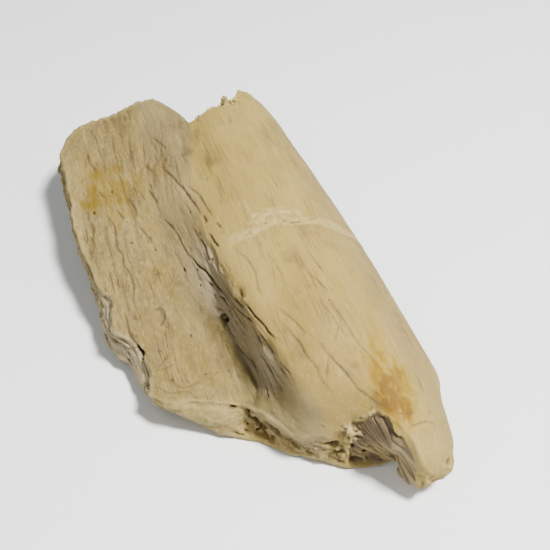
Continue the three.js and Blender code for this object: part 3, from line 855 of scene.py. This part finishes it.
def score_cracks(solid, relief):
    """Scores the listed cracks and hairlines, and random fine ones along the grain."""
    for number, (line, width, depth) in enumerate(CRACKS):
        crack(solid, relief, line, 0.25 + 0.2 * width, 0.32 * depth, seed=40 + number)
    for number, line in enumerate(HAIRLINES):
        crack(solid, relief, line, 0.3, 0.2, seed=90 + number, wander=0.15, dark=0.6)

    # all over the wing and the trough
    for number in range(CRACKS_ABOVE):
        x = RANDOM.uniform(-14, 62) + np.linspace(0, RANDOM.uniform(4, 17), 4)
        y = RANDOM.uniform(-3, 34)
        bend = 1 - smooth(12, 30, y)
        y = y + bend * (along(TROUGH, x) - along(TROUGH, x[0])) + RANDOM.uniform(-0.05, 0.05) * (x - x[0])
        line = np.stack([x, y], 1)
        if y[0] > along(RIDGE, x[0]) and inside_outline(line[-1:], WING)[0] > 0:
            depth, dark = RANDOM.uniform(0.12, 0.25), RANDOM.uniform(0.25, 0.65)
            crack(solid, relief, line, 0.3, depth, 200 + number, 0.35, dark)

    # on the underside, and every third one on the flank
    for number in range(CRACKS_BELOW):
        x = RANDOM_BELOW.uniform(-62, 60) + np.linspace(0, RANDOM_BELOW.uniform(5, 20), 4)
        slant = RANDOM_BELOW.uniform(-0.06, 0.06) * (x - x[0])
        if number % 3:
            y = RANDOM_BELOW.uniform(-36, 34) + slant
            z = relief.column(np.stack([x, y], 1), relief.lower)
        else:
            y = np.full(4, -38.5)
            z = RANDOM_BELOW.uniform(3, 22) + slant
        if (z < NO_BOTTOM).all():
            depth, dark = RANDOM_BELOW.uniform(0.12, 0.3), RANDOM_BELOW.uniform(0.3, 0.8)
            crack(solid, relief, np.stack([x, y, z], 1), 0.35, depth, 400 + number, 0.4, dark)
    solid.scored()


def press_pits(solid, relief):
    """Presses in the listed pits, and many small pores along the grain in the trough and on the wing."""
    for at, length, width, depth in PITS:
        pit(solid, relief, at, length, width, depth)
    for _ in range(PORES):
        x = RANDOM.uniform(-36, 66)
        y = float(along(TROUGH, x) + RANDOM.uniform(-6, 26))
        size = RANDOM.uniform(0.55, 0.85)
        if along(RIDGE, x) - 1 <= y <= 38:
            pit(solid, relief, (x, y), size * RANDOM.uniform(1, 2.8), 0.6 * size, 0.4 * size)


def carve(solid, relief):
    """Everything that is cut into the solid. solid.whole is the field before the gaps, cracks and pits."""
    wear_breaks(solid, relief)
    wear_upper_side(solid)
    wear_wing_edge(solid, relief)
    wear_tongue(solid)
    solid.whole = solid.field.copy()
    for number, (at, half, turn) in enumerate(HOLLOWS):
        hollow(solid, at, half, turn, seed=5 + number)
    for number, (line, width, depth, settings) in enumerate(GAPS):
        groove(solid, relief, line, width, depth, seed=21 + number, **settings)
    score_cracks(solid, relief)
    press_pits(solid, relief)


# ---------------------------------------------------------------------------- the skin

def grain(points, relief):
    """How far the bone's own surface stands out of an even one."""
    x, y, _ = points.T
    bent = points.copy()
    bent[:, 1] -= 0.7 * along(RIDGE, x)  # so that the noise follows the grain
    in_trough = smooth(-1.5, 2.5, y - along(RIDGE, x))
    strength = 0.45 + 0.9 * in_trough
    height = 0.22 * clouds(points, (17, 11, 11), 1, 2)
    height += 0.07 * noise(bent, (13, 4.2, 4.2), 4) * strength
    height += 0.075 * noise(bent, (11, 1.25, 1.25), 6) * strength
    height += 0.05 * noise(bent, (5, 0.75, 0.75), 8) * strength
    height += 0.05 * clouds(points, 2.2, 11, 2)
    wing = smooth(6, 13, y - along(TROUGH, x)) * smooth(-8, 4, x)
    ridges = 1 - np.abs(noise(bent, (24, 2.3, 2.3), 14))
    height += wing * 0.16 * (ridges - 0.6)
    height += 0.1 * smooth(8, 18, y - along(TROUGH, x)) * clouds(points, (2.6, 1.5, 1.5), 15, 2)
    return height


def largest_piece(points, quads):
    """Leaves out crumbs that a cut has set free."""
    label = np.arange(len(points))
    starts, ends = quads[:, :3].ravel(), quads[:, 1:].ravel()
    while True:
        low = np.minimum(label[starts], label[ends])
        after = label.copy()
        np.minimum.at(after, starts, low)
        np.minimum.at(after, ends, low)
        after = after[after]
        after = after[after]
        if (after == label).all():
            break
        label = after
    keep = label == np.bincount(label).argmax()
    number = np.cumsum(keep) - 1
    return points[keep], number[quads[keep[quads[:, 0]]]]


def mesh_from(name, points, faces):
    mesh = bpy.data.meshes.new(name)
    corners = faces.shape[1]
    mesh.vertices.add(len(points))
    mesh.vertices.foreach_set("co", points.astype(np.float32).ravel())
    mesh.loops.add(faces.size)
    mesh.loops.foreach_set("vertex_index", faces.astype(np.int32).ravel())
    mesh.polygons.add(len(faces))
    mesh.polygons.foreach_set("loop_start", np.arange(0, faces.size, corners, dtype=np.int32))
    mesh.polygons.foreach_set("loop_total", np.full(len(faces), corners, np.int32))
    mesh.update(calc_edges=True)
    return mesh


def reduced(mesh, triangles):
    """The mesh with at most that many triangles, fewest where it is plain."""
    carrier = bpy.data.objects.new("carrier", mesh)
    bpy.context.scene.collection.objects.link(carrier)
    modifier = carrier.modifiers.new("fewer", "DECIMATE")
    modifier.ratio = triangles / (2 * len(mesh.polygons))
    modifier.use_collapse_triangulate = True
    depsgraph = bpy.context.evaluated_depsgraph_get()
    result = bpy.data.meshes.new_from_object(carrier.evaluated_get(depsgraph))
    bpy.data.objects.remove(carrier)
    return result


def stain(points, patches):
    """How strongly the upper side is stained at each point, from 0 to 1."""
    x, y, z = points.T
    total = 0
    for strength, cx, cy, rx, ry, seed in patches:
        away = np.hypot((x - cx) / rx, (y - cy) / ry) + 0.4 * clouds(points, (4, 2.5, 2.5), seed, 4)
        total = total + strength * (smooth(1.4, 0.1, away) * smooth(2, 8, z))
    return np.clip(total, 0, 1)


def markings(points, solid, relief):
    """What the material needs to know at each point, each from 0 to 1."""
    normals = relief.normals(points)
    x, y, z = points.T
    filled = np.clip(0.5 - solid.field / GRID, 0, 1).astype(np.float32)
    close = solid.at(points, blurred(filled, 0.7, 2)) - 0.5
    wide = solid.at(points, blurred(filled, 2.6, 2)) - 0.5
    near = near_break(points, normals)
    far = far_break(points, normals)
    sheet, cellular, foot = near_zones(points)
    in_notch = notch(points, normals)
    from_ridge = y - along(RIDGE, x)
    from_trough = y - along(TROUGH, x)
    uneven = clouds(points, 9, 51)
    flank = smooth(-24, -34, y)
    brown = in_notch * smooth(-19, -15.5, y + 0.5 * (z - 14) + 1.2 * noise(points, 2, 18))
    grey = smooth(-1.5, 1.5, from_ridge + uneven) * smooth(7.5, 2, from_trough + 2.5 * uneven)
    # the trough's steep wall under the ridge where it lies in shade, for painted fill light
    wall = smooth(0, 1.5, from_ridge) * smooth(0.85, 0.55, normals[:, 2]) * smooth(14, -4, x)
    wall = wall * smooth(-46, -38, x) * smooth(3, 8, z) * (1 - near)
    # the trough's bed along the foot of the ridge's wall, for painted shadow and dirt
    floor = smooth(-2, -14, x) * smooth(-1.5, 0.5, from_ridge) * smooth(0.6, 0.85, normals[:, 2]) * (1 - near)
    sides = np.maximum(smooth(0.45, 0.7, np.abs(normals[:, 2])), flank)
    return {
        # how deep a point lies below the uncut surface, for painted shade and dirt deep in hollows and cracks
        "depth": np.clip(-solid.at(points, solid.whole) / 2, 0, 1),
        # how hollow the surface is close by and wider around: creases and broad hollows get dirt and painted
        # shade, rounded edges wear pale
        "crease": np.clip(close * 4, 0, 1),
        "edge": np.clip(-close * 4, 0, 1),
        "shelter": np.clip(wide * 3.2, 0, 1),
        "broken": np.clip(near * sheet + far, 0, 1),
        "core": np.clip(near * np.maximum(cellular, foot) + far * far_core(points, relief), 0, 1),
        "crack": np.clip(solid.at(points, solid.lines), 0, 1),
        "scar": scar(points),
        "strands": in_notch,
        "furrows": in_notch * fibre_gaps(points),
        "crumbs": crumbs(points),
        "stained": brown * smooth(1, 3, z),
        "wall": wall,
        "grey": grey * smooth(3, 8, z),
        "floor": floor * smooth(8, 1, from_trough + 2 * uneven),
        "wing": smooth(2, 9, from_trough),
        "orange": stain(points, ORANGE_STAIN),
        "ochre": stain(points, OCHRE_STAIN),
        "flank": flank,
        "lined": sides * smooth(0.6, 0.4, np.abs(normals[:, 0])),
        "under": smooth(0.1, -0.5, normals[:, 2]),
    }


def build_rib(node):
    points, triangles = packed_mesh(node)
    low, high = points.min(0), points.max(0)
    solid = Solid(points, triangles)
    fill_out(solid)
    even_out(solid)
    relief = Relief(solid)
    carve(solid, relief)
    points, quads = largest_piece(*solid.skin())
    normals = relief.normals(points)
    resting = smooth(0.2, 1.6, points[:, 2])
    points = points + normals * (grain(points, relief) * resting)[:, None]
    points = np.clip(points, low, high)
    mesh = reduced(mesh_from("rib_skin", points, quads), SKIN_TRIANGLES)
    points = np.clip(mesh_points(mesh), low, high)
    for name, values in markings(points, solid, relief).items():
        mesh.attributes.new(name, "FLOAT", "POINT").data.foreach_set("value", values.astype(np.float32))
    mesh.vertices.foreach_set("co", (points * MM).ravel())
    mesh.polygons.foreach_set("use_smooth", np.ones(len(mesh.polygons), bool))
    mesh.update()
    rib = bpy.data.objects.new("rib_bone", mesh)
    bpy.context.scene.collection.objects.link(rib)
    return rib


# ---------------------------------------------------------------------------- material

class Nodes:
    """Short ways to make a material's nodes."""

    def __init__(self, name):
        self.material = bpy.data.materials.new(name)
        self.material.use_nodes = True
        self.tree = self.material.node_tree
        self.shader = self.tree.nodes["Principled BSDF"]
        self.place = self.add("ShaderNodeTexCoord").outputs["Object"]
        self.marks = {}

    def add(self, kind, inputs=None, **settings):
        """A new node with these settings, and with these values or links on its inputs."""
        node = self.tree.nodes.new(kind)
        for name, value in settings.items():
            setattr(node, name, value)
        for name, value in (inputs or {}).items():
            self.link(value, node.inputs[name])
        return node

    def link(self, value, socket):
        """Links another socket or a mark, given by its name, or sets a plain value."""
        if isinstance(value, str):
            value = self.mark(value)
        if isinstance(value, bpy.types.NodeSocket):
            self.tree.links.new(value, socket)
        else:
            socket.default_value = value

    def mark(self, name):
        """What markings() found under that name."""
        if name not in self.marks:
            self.marks[name] = self.add("ShaderNodeAttribute", attribute_name=name).outputs["Fac"]
        return self.marks[name]

    def math(self, operation, a, b=0.0):
        return self.add("ShaderNodeMath", {0: a, 1: b}, operation=operation).outputs[0]

    def times(self, share, *shares):
        """The shares multiplied."""
        for other in shares:
            share = self.math("MULTIPLY", share, other)
        return share

    def rising(self, value, low, high):
        """low where the value is 0, high where it is 1, and in proportion between."""
        return self.math("ADD", self.math("MULTIPLY", value, high - low), low)

    def mix(self, factor, a, b):
        a, b = ((*colour, 1) if isinstance(colour, tuple) else colour for colour in (a, b))
        return self.add("ShaderNodeMix", {0: factor, 6: a, 7: b}, data_type="RGBA").outputs[2]

    def noise(self, size, detail, roughness, distortion=0.0, offset=0.0):
        """Noise between 0 and 1. size is its length in millimetres along each axis."""
        place = self.add("ShaderNodeMapping", {
            "Vector": self.place,
            "Scale": [1 / (length * MM) for length in size],
            "Location": (offset, offset, offset),
        }).outputs["Vector"]
        return self.add("ShaderNodeTexNoise", {
            "Vector": place,
            "Scale": 1.0,
            "Detail": detail,
            "Roughness": roughness,
            "Distortion": distortion,
        }).outputs[0]

    def between(self, value, low, high):
        """0 below low, 1 above high, with an even turn between; the other way round if low is larger."""
        rising = low < high
        return self.add("ShaderNodeMapRange", {
            "Value": value,
            "From Min": min(low, high),
            "From Max": max(low, high),
            "To Min": 0.0 if rising else 1.0,
            "To Max": 1.0 if rising else 0.0,
        }, interpolation_type="SMOOTHSTEP").outputs["Result"]

    def patches(self, size, low, high, *settings):
        """0 to 1 as a noise with these settings goes from low to high."""
        return self.between(self.noise(size, *settings), low, high)

    def lines(self, size, width, offset):
        """Thin lines where a noise crosses its middle."""
        value = self.noise(size, 1.0, 0.5, 0.0, offset)
        away = self.math("ABSOLUTE", self.math("SUBTRACT", value, 0.5))
        return self.between(away, width, 0.3 * width)


def bone_tints(make, rough, lines):
    """The tints, each laid over the ones before it: its colour, and the shares that say how strongly."""
    streaks = make.noise((14, 0.8, 0.8), 3, 0.6, 0.3, 2)
    flecks = make.noise((1.5, 0.8, 0.8), 4, 0.7, 0, 17)
    blot = make.noise((3.5, 1.6, 1.6), 3, 0.6, 0.4, 12)
    orange = make.times("orange", make.rising(make.between(blot, 0.2, 0.6), 0.3, 1))
    return [
        # broad colour: clouds drawn out along the bar, what differs from part to part, and painted shade on
        # the wing and in the trough with painted fill light on the trough's wall
        (PINK_TAN, make.patches((18, 7, 7), 0.48, 0.7, 3, 0.6, 0.6, 5), 0.6),
        (YELLOW_TAN, make.patches((26, 14, 14), 0.42, 0.68, 3, 0.5, 0.4, 9), make.rising("wing", 0.4, 0.9)),
        # the wing's own tone, darkened further as painted shade
        (WING_TAN_AND_SHADE, "wing", 0.75),
        (OLIVE_GREY, "wing", make.patches((9, 4, 4), 0.45, 0.7, 3, 0.6, 0.5, 15), 0.5),
        (OLIVE_GREY, "grey", 0.75),
        # painted shadow and dirt along the foot of the ridge's wall in the trough
        (TROUGH_SHADOW_AND_DIRT_BROWN, "floor", 1.1),
        # painted fill light: the shaded trough wall made lighter and greyer
        (FILL_LIGHT_GREY_TAN, "wall", 0.55),
        (OLIVE_GREY, "flank", 0.35),
        # fine grain: streaks along the bar
        (CORE_BROWN, make.between(streaks, 0.52, 0.72), 0.3),
        (PALE, make.between(streaks, 0.46, 0.3), 0.3),
        # small pale and dark flecks where the surface is rough
        (PALE, make.between(flecks, 0.5, 0.7), rough, 0.25),
        (CORE_BROWN, make.between(flecks, 0.5, 0.3), rough, 0.6),
        # stains
        (OCHRE, "ochre", make.between(blot, 0.2, 0.5), 0.9),
        (ORANGE_TAN, make.between(orange, 0.0, 0.6), 0.85),
        (ORANGE, make.between(orange, 0.3, 0.95), 0.85),
        # thin dark lines, small brown specks, and the pale scar
        (DIRT_AND_SHADE, lines),
        (CORE_BROWN, make.patches((1.3, 0.8, 0.8), 0.69, 0.78, 2, 0.5, 0, 21), 0.45),
        (PALE, "scar", make.rising(make.patches((2.2, 1.4, 1.4), 0.38, 0.62, 3, 0.6, 0, 61), 0.25, 0.75)),
        # broken faces: paler dense bone outside, browner spongy bone inside, fibres and crumbs at the notch
        (PALE, "broken", 0.1),
        (CORE_BROWN, "core", 0.35),
        (FIBRE_BROWN, "core", make.patches((1.1, 1.5, 0.9), 0.42, 0.3, 3, 0.6, 0.5, 65), 0.7),
        (FIBRE_GREY, "strands", 0.45),
        (FIBRE_BROWN, "furrows", 0.85),
        (FIBRE_BROWN, "stained", 0.75),
        (PALE, "crumbs", 0.6),
        (OLIVE_GREY, "under", 0.3),
        # wear on edges; dirt and painted shade in creases, hollows and cracks
        (PALE, "edge", 0.4),
        # painted shade, with some dirt, in broad hollows
        (CORE_BROWN, make.between("shelter", 0.05, 0.9), 0.12),
        (DIRT_AND_SHADE, make.between("crease", 0.12, 0.7), 0.75),
        (DIRT_AND_SHADE, "crack", 0.85),
        # painted shade and dirt, darkest deep in the cuts
        (DEEP_SHADE_AND_DIRT, make.between("depth", 0.3, 0.75)),
    ]


def bone_material():
    make = Nodes("fossil_bone_surface")
    rough = make.math("ADD", make.math("MAXIMUM", "wing", make.math("MAXIMUM", "core", "broken")), 0.35)
    lines = make.math("MAXIMUM", make.lines((70, 2.6, 2.6), 0.025, 31), make.lines((45, 1.3, 1.3), 0.03, 33))
    some = make.patches((16, 5, 5), 0.5, 0.62, 2, 0.5, 0, 35)
    lines = make.times(lines, some, make.rising("wing", 0.4, 0.8), "lined")

    colour = make.mix(make.patches((30, 12, 12), 0.35, 0.65, 3, 0.5), LIGHT_TAN, TAN)
    for tint, *shares in bone_tints(make, rough, lines):
        colour = make.mix(make.times(*shares), colour, tint)
    make.link(colour, make.shader.inputs["Base Color"])
    make.link(make.rising(make.noise((9, 3, 3), 3, 0.6, 0, 41), 0.55, 0.8), make.shader.inputs["Roughness"])
    make.shader.inputs["Specular IOR Level"].default_value = SPECULAR

    # fine relief: grain, with pores and lines sunk into it, and coarser where the surface is rough
    fine = make.noise((5, 0.45, 0.45), 4, 0.65, 0.2, 51)
    pores = make.patches((0.9, 0.45, 0.45), 0.62, 0.75, 2, 0.5, 0, 55)
    height = make.math("SUBTRACT", fine, make.times(pores, 0.6))
    height = make.math("SUBTRACT", height, make.times(lines, 0.8))
    height = make.math("ADD", height, make.times(make.noise((1.6, 0.9, 0.9), 3, 0.7, 0, 71), rough, 2))
    bump = make.add("ShaderNodeBump", {
        "Strength": BUMP_STRENGTH,
        "Distance": BUMP_DEPTH * MM,
        "Height": height,
    })
    make.link(bump.outputs["Normal"], make.shader.inputs["Normal"])
    return make.material


def plain_material(name, colour, roughness):
    material = bpy.data.materials.new(name)
    material.use_nodes = True
    shader = material.node_tree.nodes["Principled BSDF"]
    shader.inputs["Base Color"].default_value = (*colour, 1)
    shader.inputs["Roughness"].default_value = roughness
    return material


# ---------------------------------------------------------------------------- the stage

def soft_light(name, direction, distance, size, watts):
    data = bpy.data.lights.new(name, "AREA")
    data.size = size
    data.energy = watts
    light = bpy.data.objects.new(name, data)
    bpy.context.scene.collection.objects.link(light)
    light.location = direction.normalized() * distance
    light.rotation_euler = (-direction).to_track_quat("-Z", "Y").to_euler()


def build_stage():
    corners = FLOOR_HALF_SIDE * np.array([(-1, -1, 0), (1, -1, 0), (1, 1, 0), (-1, 1, 0)])
    floor = bpy.data.objects.new("floor", mesh_from("floor", corners, np.array([[0, 1, 2, 3]])))
    floor.data.materials.append(plain_material("floor_white", FLOOR_WHITE, 0.7))
    bpy.context.scene.collection.objects.link(floor)

    for name, settings in LIGHTS.items():
        soft_light(name, *settings)

    world = bpy.data.worlds.new("studio")
    world.use_nodes = True
    background = world.node_tree.nodes["Background"]
    background.inputs["Color"].default_value = (*SKY, 1)
    background.inputs["Strength"].default_value = SKY_STRENGTH
    bpy.context.scene.world = world

    data = bpy.data.cameras.new("camera")
    data.sensor_width = CAMERA_SENSOR
    data.lens = CAMERA_LENS
    data.clip_start = 0.01
    camera = bpy.data.objects.new("camera", data)
    camera.location = CAMERA_PLACE
    camera.rotation_euler = (CAMERA_TILT, 0, CAMERA_TURN)
    bpy.context.scene.collection.objects.link(camera)
    bpy.context.scene.camera = camera


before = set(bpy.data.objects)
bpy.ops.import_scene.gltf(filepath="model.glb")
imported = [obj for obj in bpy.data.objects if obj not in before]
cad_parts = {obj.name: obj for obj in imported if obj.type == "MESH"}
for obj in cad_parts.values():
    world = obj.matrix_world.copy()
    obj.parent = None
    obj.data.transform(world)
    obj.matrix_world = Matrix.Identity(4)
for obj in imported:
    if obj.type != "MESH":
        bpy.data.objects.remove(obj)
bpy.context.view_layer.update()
build_stage()
rib = build_rib(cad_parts["rib_fragment"])
rib.data.materials.append(bone_material())
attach(rib, "root")
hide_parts("rib_fragment")
